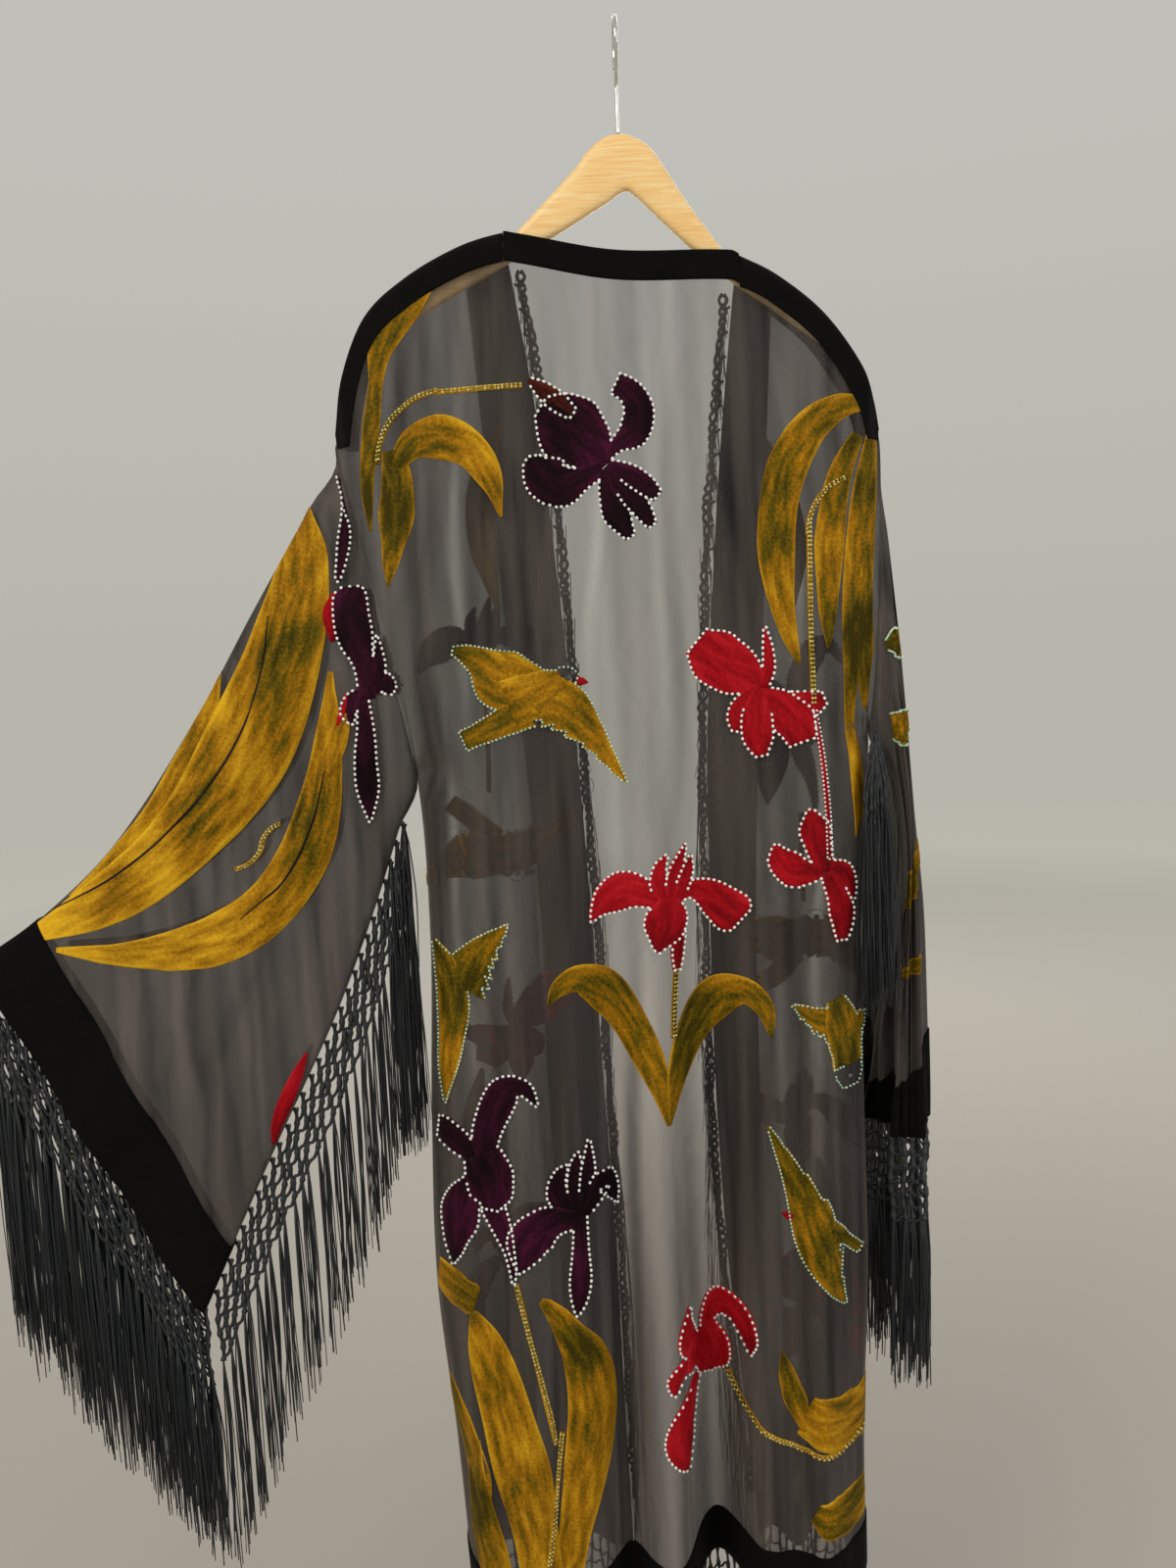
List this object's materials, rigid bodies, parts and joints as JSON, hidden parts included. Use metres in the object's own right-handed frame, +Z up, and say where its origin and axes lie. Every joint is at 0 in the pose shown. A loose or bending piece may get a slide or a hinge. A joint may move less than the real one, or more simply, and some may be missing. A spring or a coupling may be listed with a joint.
{
  "type": "long jacket on a wooden hanger",
  "caption": "Long open kimono-style jacket of sheer burnt-out velvet with knotted fringe, hung on a wooden hanger by its wire hook.",
  "frame": {"origin": "inside the crown of the hanger's hook, where a rail or peg carries it", "axes": "+Z up, -Y out of the jacket's back, +Y out of its open front, +X towards the wearer's right"},
  "size_m": [0.815, 0.2336, 1.5836],
  "materials": {
    "chiffon": "sheer dark grey-brown silk chiffon with velvet pile left in a pattern of gold leaves, plum and red flowers and birds, edged with small white beads",
    "velvet": "black velvet, deep and soft",
    "fringe": "knotted black viscose fringe, slightly glossy",
    "wood": "clear-lacquered pale wood",
    "chrome": "polished wire"
  },
  "bodies": {
    "root": {"back": "chiffon", "front_left": "chiffon", "front_right": "chiffon", "sleeve_left": "chiffon", "sleeve_right": "chiffon", "neck_band": "velvet", "shoulder_band_left": "velvet", "shoulder_band_right": "velvet", "front_band_left": "velvet", "front_band_right": "velvet", "hem_band_back": "velvet", "hem_band_left": "velvet", "hem_band_right": "velvet", "cuff_band_left": "velvet", "cuff_band_right": "velvet", "fringe_cuff_left": "fringe", "fringe_cuff_right": "fringe", "fringe_sleeve_left": "fringe", "fringe_sleeve_right": "fringe", "fringe_front_left": "fringe", "fringe_front_right": "fringe", "fringe_hem_back": "fringe", "fringe_hem_left": "fringe", "fringe_hem_right": "fringe", "hanger_wood": "wood", "hanger_hook": "chrome"}
  },
  "joints": []
}
